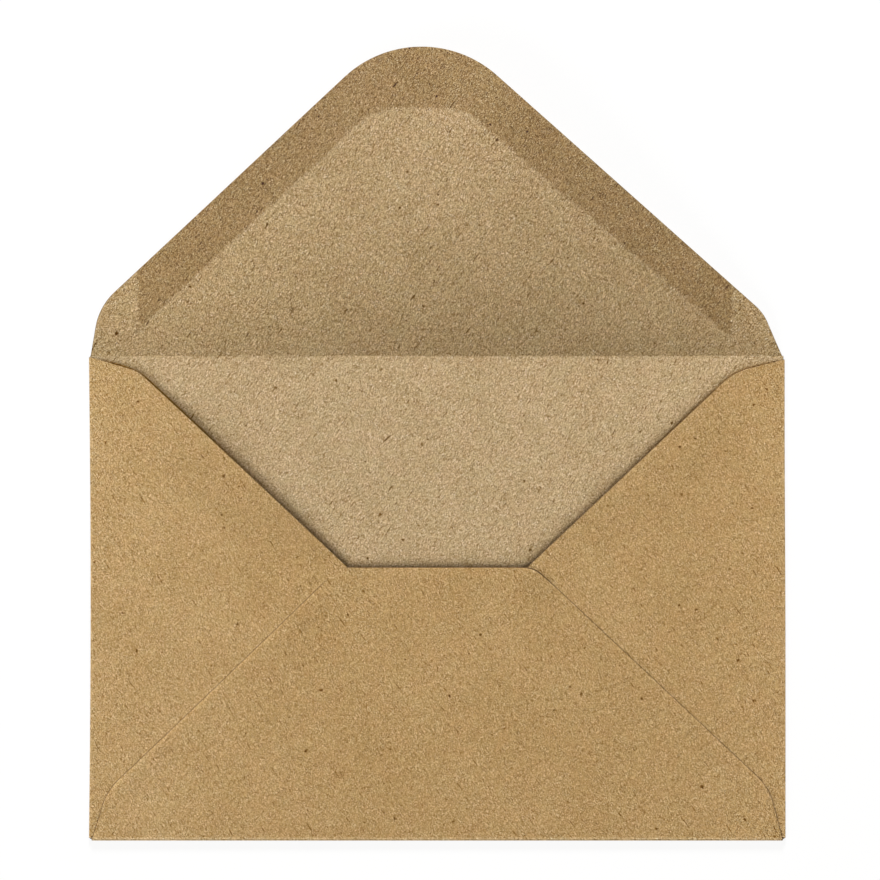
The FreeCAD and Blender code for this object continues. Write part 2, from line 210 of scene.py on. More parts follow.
# how far rows of points lie from these edges
RIDGE_ROWS = (0.25, 0.5, 0.75, 1.0, 1.6, 2.6)
# the bottom flap's upper corners, of which the right one stands up
LEFT_CORNER = Vector((-24.0, 6.2))
RIGHT_CORNER = Vector((24.0, 6.2))
CORNER_LIFT = 0.3
CORNER_REACH = 8.0

# how far the sides pull in where the pocket stands open, and where across the envelope this
# starts; on the right it rises from one height, and ends at the crease
LEFT_PULL = 0.38
RIGHT_PULL = 0.2
PULL_START = 20.0
PULL_WIDTH = 60.0
RIGHT_PULL_Y = -15.0
PULL_END = 10.0


def smooth(value):
    """A smooth step from 0 to 1."""
    value = min(1.0, max(0.0, value))
    return value * value * (3 - 2 * value)


def to_left(p, edge):
    """How far a point lies to the left of a line that runs from one point to another."""
    a, b = edge
    return (b - a).cross(p - a) / (b - a).length


def rounded(corners):
    """A line through these corners, with the arcs of its round corners divided."""
    line = []
    for n, corner in enumerate(corners):
        spot = Vector(corner[:2])
        if len(corner) == 2:
            line.append(spot)
            continue
        radius = corner[2]
        back = (Vector(corners[n - 1][:2]) - spot).normalized()
        on = (Vector(corners[(n + 1) % len(corners)][:2]) - spot).normalized()
        half_angle = back.angle(on) / 2
        reach = radius / math.tan(half_angle)
        centre = spot + (back + on).normalized() * (radius / math.sin(half_angle))
        spoke = spot + back * reach - centre
        turn = spoke.angle_signed(spot + on * reach - centre)
        steps = max(2, math.ceil(abs(turn) * radius / EDGE_STEP))
        for k in range(steps + 1):
            a = -turn * k / steps
            line.append(centre + Vector((
                spoke.x * math.cos(a) - spoke.y * math.sin(a),
                spoke.x * math.sin(a) + spoke.y * math.cos(a),
            )))
    return line


def divided(line, step):
    """The same line with no run longer than a step."""
    fine = [line[0]]
    for a, b in zip(line, line[1:]):
        count = max(1, math.ceil((b - a).length / step))
        fine += [a.lerp(b, k / count) for k in range(1, count + 1)]
    return fine


def front_to_blank(p):
    """Where a point of the plan lies on the blank: on the front panel, in the same place."""
    return p.copy()


def flap_to_blank(p):
    """The same for the open flap."""
    angle = math.asin((CURL_Y - p.y) / CURL_MIDDLE)
    return Vector((p.x, VALLEY_Y + (CURL_START - angle) * CURL_MIDDLE))


def side_to_blank(p):
    """The same for the side flaps."""
    sign = math.copysign(1.0, p.x)
    return Vector((sign * (2 * SIDE_FOLD_X + SIDE_ARC) - p.x, p.y))


def bottom_to_blank(p):
    """The same for the bottom flap."""
    return Vector((p.x, 2 * BOTTOM_FOLD_Y - BOTTOM_ARC - p.y))


def rise(x, y):
    """How far the back stands up from the front, with the pocket slightly open."""
    u = min(1.0, abs(x) / SIDE_FOLD_X)
    v = (y - BOTTOM_FOLD_Y) / (CREASE_Y - BOTTOM_FOLD_Y)
    return POCKET_RISE * (1 - u * u) * v * (2 - v)


def place(s, t):
    """Where a point of the blank comes to lie when it is folded: the middle of the paper
    there, and the way from the outside of the envelope to its inside."""
    if t > VALLEY_Y:
        angle = CURL_START - (t - VALLEY_Y) / CURL_MIDDLE
        way = Vector((0, -math.sin(angle), math.cos(angle)))
        return Vector((s, CURL_Y, CURL_Z)) + way * CURL_MIDDLE, way
    if abs(s) > SIDE_FOLD_X:
        sign = math.copysign(1.0, s)
        past = abs(s) - SIDE_FOLD_X
        if past < SIDE_ARC:
            a = past / SIDE_TURN
            way = Vector((-sign * math.sin(a), 0, math.cos(a)))
            centre = Vector((sign * SIDE_FOLD_X, t, HALF + SIDE_TURN))
            return centre - way * SIDE_TURN, way
        x = sign * (SIDE_FOLD_X - (past - SIDE_ARC))
        return Vector((x, t, SIDE_LEVEL + HALF + rise(x, t))), Vector((0, 0, -1))
    if t < BOTTOM_FOLD_Y:
        past = BOTTOM_FOLD_Y - t
        if past < BOTTOM_ARC:
            a = past / BOTTOM_TURN
            way = Vector((0, math.sin(a), math.cos(a)))
            centre = Vector((s, BOTTOM_FOLD_Y, HALF + BOTTOM_TURN))
            return centre - way * BOTTOM_TURN, way
        y = BOTTOM_FOLD_Y + past - BOTTOM_ARC
        return Vector((s, y, BOTTOM_LEVEL + HALF + rise(s, y))), Vector((0, 0, -1))
    return Vector((s, t, HALF)), Vector((0, 0, 1))


def throat_bow(p):
    """How far the front panel bows up at a point of the open throat."""
    inside = THROAT_LEAD + min(-to_left(p, edge) for edge, dip, reach in THROAT_DIPS)
    if inside <= -THROAT_TUCK:
        return 0.0
    below_crease = max(0.0, VALLEY_Y - p.y)
    beside_edge = math.exp(-max(0.0, inside) / RIM_FADE)
    bow = THROAT_BOW * min(1.0, below_crease / THROAT_FADE)
    bow += THROAT_RIM * min(1.0, below_crease / RIM_FADE) * beside_edge
    kept = min(
        1 - dip * math.exp(-max(0.0, THROAT_LEAD - to_left(p, edge)) / reach)
        for edge, dip, reach in THROAT_DIPS
    )
    return bow * kept * smooth(1 + inside / THROAT_TUCK)


def edge_curl(p):
    """How far a side flap stands up beside the throat, clear of the bottom flap."""
    edge = LEFT_DIAGONAL if p.x < 0 else RIGHT_DIAGONAL
    height = LEFT_CURL if p.x < 0 else RIGHT_CURL
    clear = smooth((p.y - BOTTOM_TOP_Y) / CURL_CLEAR)
    clear *= 1 - smooth((abs(p.x) - CURL_END_X) / CURL_END_FADE)
    return height * clear * (1 - smooth(to_left(p, edge) / CURL_WIDTH))


def seam_ridge(p):
    """How far the bottom flap stands up beside its edges and at its right upper corner."""
    height = 0.0
    for edge, top in RIDGES:
        inside = to_left(p, edge)
        fall = smooth((inside - RIDGE_TOP) / RIDGE_FALL)
        height = max(height, top * smooth(inside / RIDGE_FULL) * (1 - fall))
    return height + CORNER_LIFT * (1 - smooth((p - RIGHT_CORNER).length / CORNER_REACH))


def side_pull(p):
    """How far the paper moves to the right in the plan, where the sides pull in."""
    outwards = smooth((abs(p.x) - PULL_START) / PULL_WIDTH)
    if p.x < 0:
        up = (p.y - BOTTOM_Y) / (CREASE_Y - BOTTOM_Y)
        return LEFT_PULL * math.sin(math.pi * min(1.0, up)) * outwards
    along = smooth((p.y - RIGHT_PULL_Y) / PULL_WIDTH) * (1 - smooth((p.y - CREASE_Y) / PULL_END))
    return -RIGHT_PULL * along * outwards


def sheet_relief(s, t, middle, outside):
    """How far the paper departs from the plain fold map."""
    plan = middle.xy
    pull = side_pull(plan)
    if t > VALLEY_Y:
        across = plan.x / FLAP_HALF
        up = max(0.0, plan.y - CREASE_Y) / FLAP_LENGTH
        lift = sum(share * across ** i * up ** j for (i, j), share in FLAP_LIFT.items())
        lift *= smooth((t - VALLEY_Y) / CREASE_EASE)
        return Vector((pull, 0, lift - (middle.z - HALF)))
    if abs(s) < SIDE_FOLD_X and t > BOTTOM_FOLD_Y:
        return Vector((pull, 0, throat_bow(plan) * (OUTER_BOW if outside else 1.0)))
    if t < BOTTOM_FOLD_Y - BOTTOM_ARC:
        return Vector((pull, 0, seam_ridge(plan)))
    if abs(s) > SIDE_FOLD_X + SIDE_ARC:
        return Vector((pull, 0, edge_curl(plan)))
    return Vector((pull, 0, 0))


def blank_outline():
    """The cut edge of the blank, anticlockwise, closed."""
    right = [side_to_blank(p) for p in rounded(RIGHT_OUTLINE)]
    left = [side_to_blank(p) for p in rounded(LEFT_OUTLINE)]
    flap = [flap_to_blank(p) for p in divided(rounded(FLAP_OUTLINE), EDGE_STEP)]
    bottom = [bottom_to_blank(p) for p in rounded(BOTTOM_OUTLINE)]
    first = Vector((SIDE_FOLD_X, BOTTOM_FOLD_Y))
    return [
        first,
        Vector((SIDE_FOLD_X, SIDE_FOOT_Y)),
        *right,
        Vector((SIDE_FOLD_X, RIGHT_TOP_Y)),
        Vector((SIDE_FOLD_X, CREASE_Y)),
        *flap,
        Vector((-SIDE_FOLD_X, CREASE_Y)),
        Vector((-SIDE_FOLD_X, LEFT_TOP_Y)),
        *left,
        Vector((-SIDE_FOLD_X, SIDE_FOOT_Y)),
        Vector((-SIDE_FOLD_X, BOTTOM_FOLD_Y)),
        Vector((-BOTTOM_FOOT_X, BOTTOM_FOLD_Y)),
        *bottom,
        Vector((BOTTOM_FOOT_X, BOTTOM_FOLD_Y)),
        first,
    ]


def fold_rows():
    """Straight rows of points across the blank, where it turns at its folds."""
    rows = []
    for sign, top in ((-1, LEFT_TOP_Y), (1, RIGHT_TOP_Y)):
        for k in range(-1, TURN_STEPS + 2):
            s = sign * (SIDE_FOLD_X + SIDE_ARC * k / TURN_STEPS)
            rows.append([Vector((s, SIDE_FOOT_Y)), Vector((s, top))])
    for k in range(TURN_STEPS + 2):
        t = BOTTOM_FOLD_Y - BOTTOM_ARC * k / TURN_STEPS
        rows.append([Vector((-BOTTOM_FOOT_X, t)), Vector((BOTTOM_FOOT_X, t))])
    for step in CREASE_STEPS:
        rows.append([Vector((s, VALLEY_Y + step)) for s in CREASE_ENDS])
    return rows


def beside(edge, distances, to_blank):
    """Rows of points along a straight edge, on its left, that shorten as they leave it."""
    a, b = edge
    along = (b - a).normalized()
    left = Vector((-along.y, along.x))
    rows = []
    for d in distances:
        shorter = ROW_SHORTER * abs(d) + ROW_GAP
        ends = (a + left * d + along * shorter, b + left * d - along * shorter)
        rows.append([to_blank(p) for p in ends])
    return rows


def relief_rows():
    """Rows where the paper bends sharply beside the throat and the seams."""
    rows = []
    for edge in (LEFT_DIAGONAL, RIGHT_DIAGONAL, THROAT_BOTTOM):
        rows += beside(edge, THROAT_ROWS, front_to_blank)
    for edge, top in RIDGES:
        rows += beside(edge, RIDGE_ROWS, bottom_to_blank)
    return rows


def free_grid(edge, taken, spacing):
    """A grid of points over an outline's box, without those close to a point there already."""
    near = kdtree.KDTree(len(taken))
    for n, p in enumerate(taken):
        near.insert((p.x, p.y, 0), n)
    near.balance()
    low_x, high_x = min(p.x for p in edge), max(p.x for p in edge)
    low_y, high_y = min(p.y for p in edge), max(p.y for p in edge)
    free = []
    for j in range(int((high_y - low_y) / spacing) + 1):
        for i in range(int((high_x - low_x) / spacing) + 1):
            p = Vector((low_x + (i + 0.5 * (j % 2)) * spacing, low_y + j * spacing))
            if near.find((p.x, p.y, 0))[2] > CLEAR * spacing:
                free.append(p)
    return free


def triangulated(outline, rows, spacing):
    """Triangles inside an outline, with a grid of points and these rows as edges."""
    edge = divided(outline, EDGE_STEP)[:-1]
    points = list(edge)
    links = [(n, (n + 1) % len(edge)) for n in range(len(edge))]
    for row in rows:
        first = len(points)
        points += divided(row, GRID)
        links += [(n, n + 1) for n in range(first, len(points) - 1)]
    points += free_grid(edge, points, spacing)
    found = delaunay_2d_cdt(points, links, [], 1, MERGE)
    used = sorted({n for face in found[2] for n in face})
    number = {n: k for k, n in enumerate(used)}
    return [found[0][n] for n in used], [tuple(number[n] for n in face) for face in found[2]]


def shows_inside(p):
    """Whether this part of the blank lies with its inside up: the front panel and the flap."""
    return abs(p.x) < SIDE_FOLD_X and p.y > BOTTOM_FOLD_Y


def cut_slant(p):
    """How far the cut edge slants, so that its dark colour, partly painted shade, shows as a line:
    more on the bottom flap, most at its right upper corner and not at its left one."""
    if p.y > BOTTOM_FOLD_Y:
        return CUT_SLANT
    from_left = smooth((p - bottom_to_blank(LEFT_CORNER)).length / HOOK_REACH)
    from_right = smooth((p - bottom_to_blank(RIGHT_CORNER)).length / HOOK_REACH)
    return SEAM_SLANT * from_left + HOOK_SLANT * (1 - from_right)


def anticlockwise(flat, triangles):
    """The same triangles, all turning one way."""
    turned = []
    for a, b, c in triangles:
        if (flat[b] - flat[a]).cross(flat[c] - flat[a]) < 0:
            b, c = c, b
        turned.append((a, b, c))
    return turned


def outer_runs(triangles):
    """The runs along the cut edge, with the paper on their left."""
    runs = {run for a, b, c in triangles for run in ((a, b), (b, c), (c, a))}
    return sorted(run for run in runs if (run[1], run[0]) not in runs)


def inward(flat, borders):
    """The way into the paper at each point of its cut edge."""
    ways = {}
    for one, two in borders:
        run = (flat[two] - flat[one]).normalized()
        left = Vector((-run.y, run.x))
        for n in (one, two):
            ways[n] = ways.get(n, Vector((0, 0))) + left
    return {n: way.normalized() for n, way in ways.items()}


def linked(name, data):
    """A new object with this data, in the scene."""
    thing = bpy.data.objects.new(name, data)
    bpy.context.scene.collection.objects.link(thing)
    return thing


def two_sides(flat, ways, low, high, depths):
    """The points of a thin solid's inside and outside, and the same on the blank."""
    points = []
    marks = []
    for outside in (0.0, 1.0):
        for n, p in enumerate(flat):
            level = low if outside else high
            if depths:
                level = low + (level - low) * min(1.0, FILM_END + depths[n] / TAPER)
            elif n in ways and shows_inside(p) == (outside == 0.0):
                p = p + ways[n] * cut_slant(p)
            middle, way = place(p.x, p.y)
            spot = middle + way * level + sheet_relief(p.x, p.y, middle, outside)
            points.append(spot * MM)
            marks.append((p.x, p.y, outside))
    return points, marks


def thick_mesh(name, flat, triangles, low, high, depths=()):
    """A thin solid over a part of the blank, between two heights above the paper's middle,
    with the blank's coordinates on it for its material: x, y and 0 inside or 1 outside. The
    sheet's cut edge slants, so that the side that shows is a little smaller. A film has depths,
    which are how far its points lie from its inner edge, and thins out there."""
    turned = anticlockwise(flat, triangles)
    borders = outer_runs(turned)
    points, marks = two_sides(flat, inward(flat, borders), low, high, depths)
    count = len(flat)
    faces = []
    for a, b, c in turned:
        faces += [(a, b, c), (c + count, b + count, a + count)]
    faces += [(two, one, one + count, two + count) for one, two in borders]
    mesh = bpy.data.meshes.new(name)
    mesh.from_pydata(points, [], faces)
    blank = mesh.attributes.new("blank", "FLOAT_VECTOR", "POINT")
    blank.data.foreach_set("vector", [value for mark in marks for value in mark])
    if depths:
        inner = mesh.attributes.new("depth", "FLOAT", "POINT")
        inner.data.foreach_set("value", depths * 2)
    mesh.polygons.foreach_set("use_smooth", [True] * len(faces))
    mesh.set_sharp_from_angle(angle=SHARP)
    mesh.update()
    return linked(name, mesh)


def gum_outline():
    """The band of gum on the flap: its inner edge from left to right, then the flap's edge."""
    left_slope = (POINT[1] - LEFT_FOOT[1]) / (POINT[0] - LEFT_FOOT[0])
    right_slope = (RIGHT_FOOT[1] - POINT[1]) / (RIGHT_FOOT[0] - POINT[0])
    left_stretch = math.hypot(1, left_slope)
    right_stretch = math.hypot(1, right_slope)
    fall = POINT[2] * (left_slope * right_stretch - right_slope * left_stretch)
    top_y = POINT[1] - fall / (left_slope - right_slope) + POINT[2] - GUM_POINT_WIDTH
    left_x = GUM_LEFT_END - SIDE_X
    right_x = SIDE_X - GUM_RIGHT_END
    left_y = LEFT_FOOT[1] + left_slope * (left_x - LEFT_FOOT[0])
    right_y = RIGHT_FOOT[1] + right_slope * (right_x - RIGHT_FOOT[0])
    left_low = left_y - GUM_LEFT_WIDTH * left_stretch
    right_low = right_y - GUM_RIGHT_LOW_WIDTH * right_stretch
    under_y = POINT[1] - GUM_RIGHT_TOP_WIDTH * right_stretch
    inner_slope = (right_low - under_y) / (right_x - POINT[0])
    inner = [
        (left_x, left_y),
        (left_x, left_low),
        (left_x + (top_y - left_low) / left_slope, top_y, GUM_LEFT_RADIUS),
        (right_x - (right_low - top_y) / inner_slope, top_y, GUM_RIGHT_RADIUS),
        (right_x, right_low),
        (right_x, right_y),
    ]
    return inner, [(right_x, right_y), POINT, (left_x, left_y)]


def from_line(p, line):
    """The distance of a point from a line of many short runs."""
    nearest = math.inf
    for a, b in zip(line, line[1:]):
        run = b - a
        share = min(1.0, max(0.0, (p - a).dot(run) / run.length_squared))
        nearest = min(nearest, (p - a - run * share).length)
    return nearest


def sheet_mesh():
    """The folded sheet."""
    flat, triangles = triangulated(blank_outline(), fold_rows() + relief_rows(), GRID)
    return thick_mesh("folded_sheet", flat, triangles, -HALF, HALF)


def gum_mesh():
    """The film of dried gum on the flap."""
    inner, outer = gum_outline()
    inner_line = [flap_to_blank(p) for p in divided(rounded(inner), EDGE_STEP)]
    outer_line = [flap_to_blank(p) for p in divided(rounded(outer), EDGE_STEP)]
    flat, triangles = triangulated(inner_line + outer_line[1:], [], GUM_GRID)
    depths = [from_line(p, inner_line) for p in flat]
    return thick_mesh("gum_band", flat, triangles, HALF, HALF + GUM_FILM, depths)


# a pattern that runs along one direction: its angle, its waves to a millimetre along and across
# it, where it starts, and the noise's detail, roughness and distortion
Streaks = namedtuple("Streaks", "angle along across shift detail roughness distortion")
GRAIN_FORM = Streaks(56, 1.2, 2.9, (0, 0, 0), 1.0, 0.6, 0.0)
FINE_FORM = Streaks(50, 2.9, 5.8, (3, 7, 5), 1.0, 0.7, 0.0)
FIBRE_FORM = Streaks(56, 0.33, 2.6, (31, 5, 7), 0.0, 0.5, 0.6)
WORM_FORM = Streaks(52, 0.72, 1.25, (11, 3, 2), 1.0, 0.45, 0.9)
SMALL_WORM_FORM = Streaks(60, 1.368, 2.375, (5, 17, 9), 1.0, 0.45, 0.9)
GLUE_FORM = Streaks(45, 300.0, 1500.0, (0, 0, 0), 2.0, 0.6, 0.0)

# how specks are scattered: how much and how finely their cells are bent, how seldom they are
# large, and how soft their edges are
DOT_BEND = 0.9
DOT_NOISE = 2.2
DOT_RARITY = 1.5
DOT_EDGE = 0.1


class Nodes:
    """The nodes of a material or a world, and the shader that they feed."""

    def __init__(self, owner, shader="Principled BSDF"):
        owner.use_nodes = True
        self.tree = owner.node_tree
        self.shader = self.tree.nodes[shader]

    def feed(self, node, inputs):
        """Gives a node its inputs: each a number, a list of numbers or another node's output."""
        for key, given in inputs.items():
            socket = node.inputs[key]
            if isinstance(given, bpy.types.NodeSocket):
                self.tree.links.new(given, socket)
            else:
                socket.default_value = given

    def add(self, kind, inputs=None, **settings):
        """One node with these inputs and settings."""
        made = self.tree.nodes.new(kind)
        for key, setting in settings.items():
            setattr(made, key, setting)
        self.feed(made, inputs or {})
        return made

    def maths(self, kind, *given, clamp=False):
        """The result of one step with numbers."""
        inputs = dict(enumerate(given))
        return self.add("ShaderNodeMath", inputs, operation=kind, use_clamp=clamp).outputs[0]

    def times(self, one, two):
        return self.maths("MULTIPLY", one, two)

    def plus(self, one, two):
        return self.maths("ADD", one, two)

    def minus(self, one, two):
        return self.maths("SUBTRACT", one, two)

    def vectors(self, kind, *given):
        """The result of one step with vectors, a number where it is a length or a product."""
        made = self.add("ShaderNodeVectorMath", dict(enumerate(given)), operation=kind)
        return made.outputs["Value" if kind in ("LENGTH", "DOT_PRODUCT") else "Vector"]

    def spot(self, x, y, z):
        """A vector of three numbers."""
        return self.add("ShaderNodeCombineXYZ", {0: x, 1: y, 2: z}).outputs[0]

    def between(self, number, low, high, to_low=0.0, to_high=1.0):
        """A smooth step: to_low up to low, to_high from high on."""
        made = self.add(
            "ShaderNodeMapRange",
            {"Value": number, "From Min": low, "From Max": high, "To Min": to_low, "To Max": to_high},
            interpolation_type="SMOOTHSTEP",
        )
        return made.outputs["Result"]

    def mixed(self, factor, first, second):
        """The first colour at 0, the second at 1."""
        made = self.add("ShaderNodeMix", {0: factor, 6: first, 7: second}, data_type="RGBA")
        return made.outputs[2]

    def ramp(self, factor, stops):
        """The colour at this factor, between stops that each have a place and a colour."""
        made = self.add("ShaderNodeValToRGB", {0: factor})
        elements = made.color_ramp.elements
        while len(elements) < len(stops):
            elements.new(0.5)
        for element, (at, colour) in zip(elements, stops):
            element.position = at
            element.color = colour
        return made.outputs[0]

    def stretched(self, vector, angle, along, across, shift):
        """The coordinates turned and scaled, for a pattern that runs along one direction."""
        turned = self.add(
            "ShaderNodeMapping",
            {"Vector": vector, "Location": shift, "Rotation": (0, 0, -math.radians(angle))},
        )
        return self.vectors("MULTIPLY", turned.outputs[0], (along, across, 1))

    def cloud(self, vector, scale, detail=2.0, roughness=0.6, distortion=0.0):
        """A noise pattern about zero."""
        made = self.add(
            "ShaderNodeTexNoise",
            {
                "Vector": vector,
                "Scale": scale,
                "Detail": detail,
                "Roughness": roughness,
                "Distortion": distortion,
            },
        )
        return self.minus(made.outputs[0], 0.5)

    def streaks(self, vector, form):
        """A noise pattern about zero that runs along one direction."""
        lying = self.stretched(vector, form.angle, form.along, form.across, form.shift)
        return self.cloud(lying, 1.0, form.detail, form.roughness, form.distortion)

    def dots(self, vector, spacing, shift, size):
        """Scattered specks of unlike sizes, one at most to a cell of this spacing."""
        moved = self.vectors("ADD", vector, (shift, shift, 0))
        uneven = self.add(
            "ShaderNodeTexNoise", {"Vector": moved, "Scale": DOT_NOISE, "Detail": 1.0}
        )
        bent = self.vectors("MULTIPLY_ADD", uneven.outputs[1], (DOT_BEND, DOT_BEND, 0), moved)
        cells = self.add(
            "ShaderNodeTexVoronoi", {"Vector": bent, "Scale": 1 / spacing}, feature="F1"
        )
        chance = self.add("ShaderNodeSeparateXYZ", {0: cells.outputs["Color"]}).outputs[0]
        edge = self.times(self.maths("POWER", chance, DOT_RARITY), size)
        away = self.minus(cells.outputs["Distance"], edge)
        return self.between(away, DOT_EDGE / spacing, -DOT_EDGE / spacing)


# the strength of each part of the paper's pattern, in steps of the picture's 255 levels
GRAIN = 73.0
FINE_GRAIN = 186.0
WORMS = 57.0
SMALL_WORMS = 91.0
CLUMPS = 20.0
CLOUDS = 17.0
FIBRES = -58.0
MARKS = -95.0
SIDE_WEAR = 7.0
# the bottom fold: worn light, and painted lighter against the shade of its turn
BOTTOM_WEAR_AND_PAINTED_LIGHT = 28.0
MEAN_SHIFT = 7.0
# dark specks, dust and light flecks: their spacing, where the pattern starts, their largest
# size as a share of the spacing, and their strength
DOTS = ((13.0, 3.0, 0.036, -80.0), (3.4, 40.0, 0.1, -82.0), (7.0, 90.0, 0.036, 28.0))

# clumps and clouds: waves to a millimetre
CLUMP_SCALE = 0.6
CLOUD_SCALE = 0.07
# how much rougher the grain is in some clumps, and in which clumps the large worms show
ROUGHER = (-0.2, 0.2, 0.65, 1.2)
UNBROKEN = (-0.12, 0.1)
# the long dark fibres show where their noise is past this edge
FIBRE_EDGE = (0.27, 0.31)
# the tones along a step of the worms' noise: dark on one side, light on the other, as painted
# shade and painted highlight beside each pressed fibre
WORM_TONES = ((0.41, 0.5), (0.465, 0.0), (0.535, 0.7), (0.59, 0.5))
# the inside and the outside of the paper lie this far apart in the pattern
SKIN_APART = 61.0

# the folds that are worn light, the bottom one also painted lighter against the shade its turn
# gets: where they lie on the blank, and the band's edges beside them
SIDE_TURN_X = 81.05
BOTTOM_TURN_Y = -56.45
SIDE_WORN = (0.8, 0.3)
BOTTOM_LIGHTER_BAND = (1.1, 0.45)

# specks and fibres that stand out: where they lie in the plan, the part of the blank, half their
# length, half their width, and the angle
SEEN_MARKS = (
    (-74.6, 61.6, flap_to_blank, 0.5, 0.38, 60),
    (-9.85, 119.3, flap_to_blank, 0.95, 0.17, 51),
    (-8.7, 90.8, flap_to_blank, 0.3, 0.26, 0),
    (0.2, 91.5, flap_to_blank, 0.26, 0.22, 0),
    (0.2, 93.8, flap_to_blank, 0.24, 0.24, 0),
    (12.3, 110.1, flap_to_blank, 0.26, 0.22, 20),
    (20.9, 108.4, flap_to_blank, 0.28, 0.24, 60),
    (-8.0, 13.6, front_to_blank, 0.32, 0.26, 0),
    (-16.2, 9.3, front_to_blank, 0.27, 0.25, 0),
    (-11.7, 37.1, front_to_blank, 1.3, 0.15, 45),
    (-16.7, 31.8, front_to_blank, 0.24, 0.22, 0),
    (-2.2, 37.0, front_to_blank, 0.3, 0.2, 10),
    (2.8, -22.7, bottom_to_blank, 0.34, 0.26, 0),
    (30.9, -20.6, bottom_to_blank, 0.28, 0.22, 0),
    (7.4, -12.9, bottom_to_blank, 0.25, 0.2, 120),
)
# the soft edge of a mark, as shares of its half size, and a distance that is past every mark
MARK_EDGE = (1.25, 0.6)
FAR = 9.0


def seen_marks(nodes, across, up):
    """1 on the specks and fibres that stand out, 0 elsewhere."""
    flat_spot = nodes.spot(across, up, 0.0)
    nearest = FAR
    for x, y, to_blank, half_long, half_wide, angle in SEEN_MARKS:
        centre = to_blank(Vector((x, y)))
        moved = nodes.vectors("SUBTRACT", flat_spot, (centre.x, centre.y, 0))
        way = -angle if to_blank is bottom_to_blank else angle
        shaped = nodes.stretched(moved, way, 1 / half_long, 1 / half_wide, (0, 0, 0))
        nearest = nodes.maths("MINIMUM", nodes.vectors("LENGTH", shaped), nearest)
    return nodes.between(nearest, *MARK_EDGE)


def worm_lines(nodes, spot, form):
    """Thin curved lines, dark on one side and light on the other: painted shade and painted
    highlight along pressed fibres, which also stand up as bumps.
    """
    field = nodes.plus(nodes.streaks(spot, form), 0.5)
    tones = nodes.ramp(field, [(at, (tone, tone, tone, 1)) for at, tone in WORM_TONES])
    return nodes.minus(tones, 0.5)


def raised_fibres(nodes, spot, patches):
    """The grain and the curved lines, which also stand up from the paper."""
    grain = nodes.times(nodes.streaks(spot, GRAIN_FORM), GRAIN)
    fine = nodes.times(nodes.streaks(spot, FINE_FORM), FINE_GRAIN)
    body = nodes.times(nodes.plus(grain, fine), nodes.between(patches, *ROUGHER))
    broken = nodes.times(worm_lines(nodes, spot, WORM_FORM), nodes.between(patches, *UNBROKEN))
    worms = nodes.times(broken, WORMS)
    small = nodes.times(worm_lines(nodes, spot, SMALL_WORM_FORM), SMALL_WORMS)
    return nodes.plus(nodes.plus(worms, small), body)


def paper_pattern(nodes):
    """How much lighter or darker the paper is than its mean, in levels, the part of this that
    also stands up from the paper, and the parts of its place on the blank: across, up, and
    0 inside or 1 outside."""
    mark = nodes.add("ShaderNodeAttribute", attribute_name="blank", attribute_type="GEOMETRY")
    parts = nodes.add("ShaderNodeSeparateXYZ", {0: mark.outputs["Vector"]})
    across, up, side = parts.outputs
    spot = nodes.spot(across, up, nodes.times(side, SKIN_APART))
    patches = nodes.cloud(spot, CLUMP_SCALE, detail=1.0)
    raised = raised_fibres(nodes, spot, patches)
    fibres = nodes.between(nodes.streaks(spot, FIBRE_FORM), *FIBRE_EDGE)
    from_side = nodes.maths("ABSOLUTE", nodes.minus(nodes.maths("ABSOLUTE", across), SIDE_TURN_X))
    from_bottom = nodes.maths("ABSOLUTE", nodes.minus(up, BOTTOM_TURN_Y))
    tones = [
        (patches, CLUMPS),
        (nodes.cloud(spot, CLOUD_SCALE), CLOUDS),
        (fibres, FIBRES),
        *((nodes.dots(spot, *form), strength) for *form, strength in DOTS),
        (seen_marks(nodes, across, up), MARKS),
        (nodes.between(from_side, *SIDE_WORN), SIDE_WEAR),
        # the bottom fold is worn light and also painted lighter against its shade
        (nodes.between(from_bottom, *BOTTOM_LIGHTER_BAND), BOTTOM_WEAR_AND_PAINTED_LIGHT),
    ]
    level = nodes.plus(raised, MEAN_SHIFT)
    for tone, strength in tones:
        level = nodes.plus(nodes.times(tone, strength), level)
    return level, raised, across, up, side


# the mean colours, in picture levels, and how much stronger than outside their patterns are
INSIDE = (191, 164, 121)
OUTSIDE = (186, 151, 96)
GUM = (161, 131, 82)
INSIDE_CONTRAST = 1.16
# the flap's stronger pattern is painted light and shade, for the light that rakes across it
FLAP_PAINTED_RAKE_CONTRAST = 1.45
GUM_CONTRAST = 1.4
# how much red, green and blue take of a step: red less, because the bumps' shading adds to it
CHANNELS = (0.92, 1.0, 1.15)
# the range of the pattern, in levels, and where on it the colours are worked out
SPAN = 220.0
SHADE_STOPS = (0.0, 0.25, 0.5, 0.75, 1.0)
# the colour of the cut edge: the cut fibres' own brown, made darker as painted shade along the
# edges; and how soon it shows there
CUT_AND_PAINTED_SHADE = (0.2, 0.11, 0.045, 1)
CUT_SHOWS = 0.5
# how far the paper stands up for one level of its pattern, in metres
BUMP = 0.0000018

# the tints that the paper wanders between, then the painted shade that makes the flap darker
# and browner, most near the crease
PLAIN = (1, 1, 1, 1)
PINK = (1.017, 0.994, 0.997, 1)
OLIVE = (0.986, 1.003, 0.992, 1)
FLAP_PAINTED_SHADE_NEAR_CREASE = (0.97, 0.935, 0.84, 1)
FLAP_PAINTED_SHADE_FAR = (0.985, 0.96, 0.93, 1)
# painted light: the outside painted lighter near the left and the right fold
LEFT_PAINTED_LIGHT = (1.05, 1.07, 1.12, 1)
RIGHT_PAINTED_LIGHT = (1.035, 1.035, 1.05, 1)
# the drift between the two: waves to a millimetre, where it starts, and its soft edge
DRIFT_SCALE = 0.26
DRIFT_START = 17.0
DRIFT_EDGE = (-0.2, 0.2)
# the flap's painted shade: how soft its edge at the crease is, and how far its darker, browner
# tint near the crease reaches
CREASE_HALF = 0.1
FLAP_SHADE_REACH = 85.0
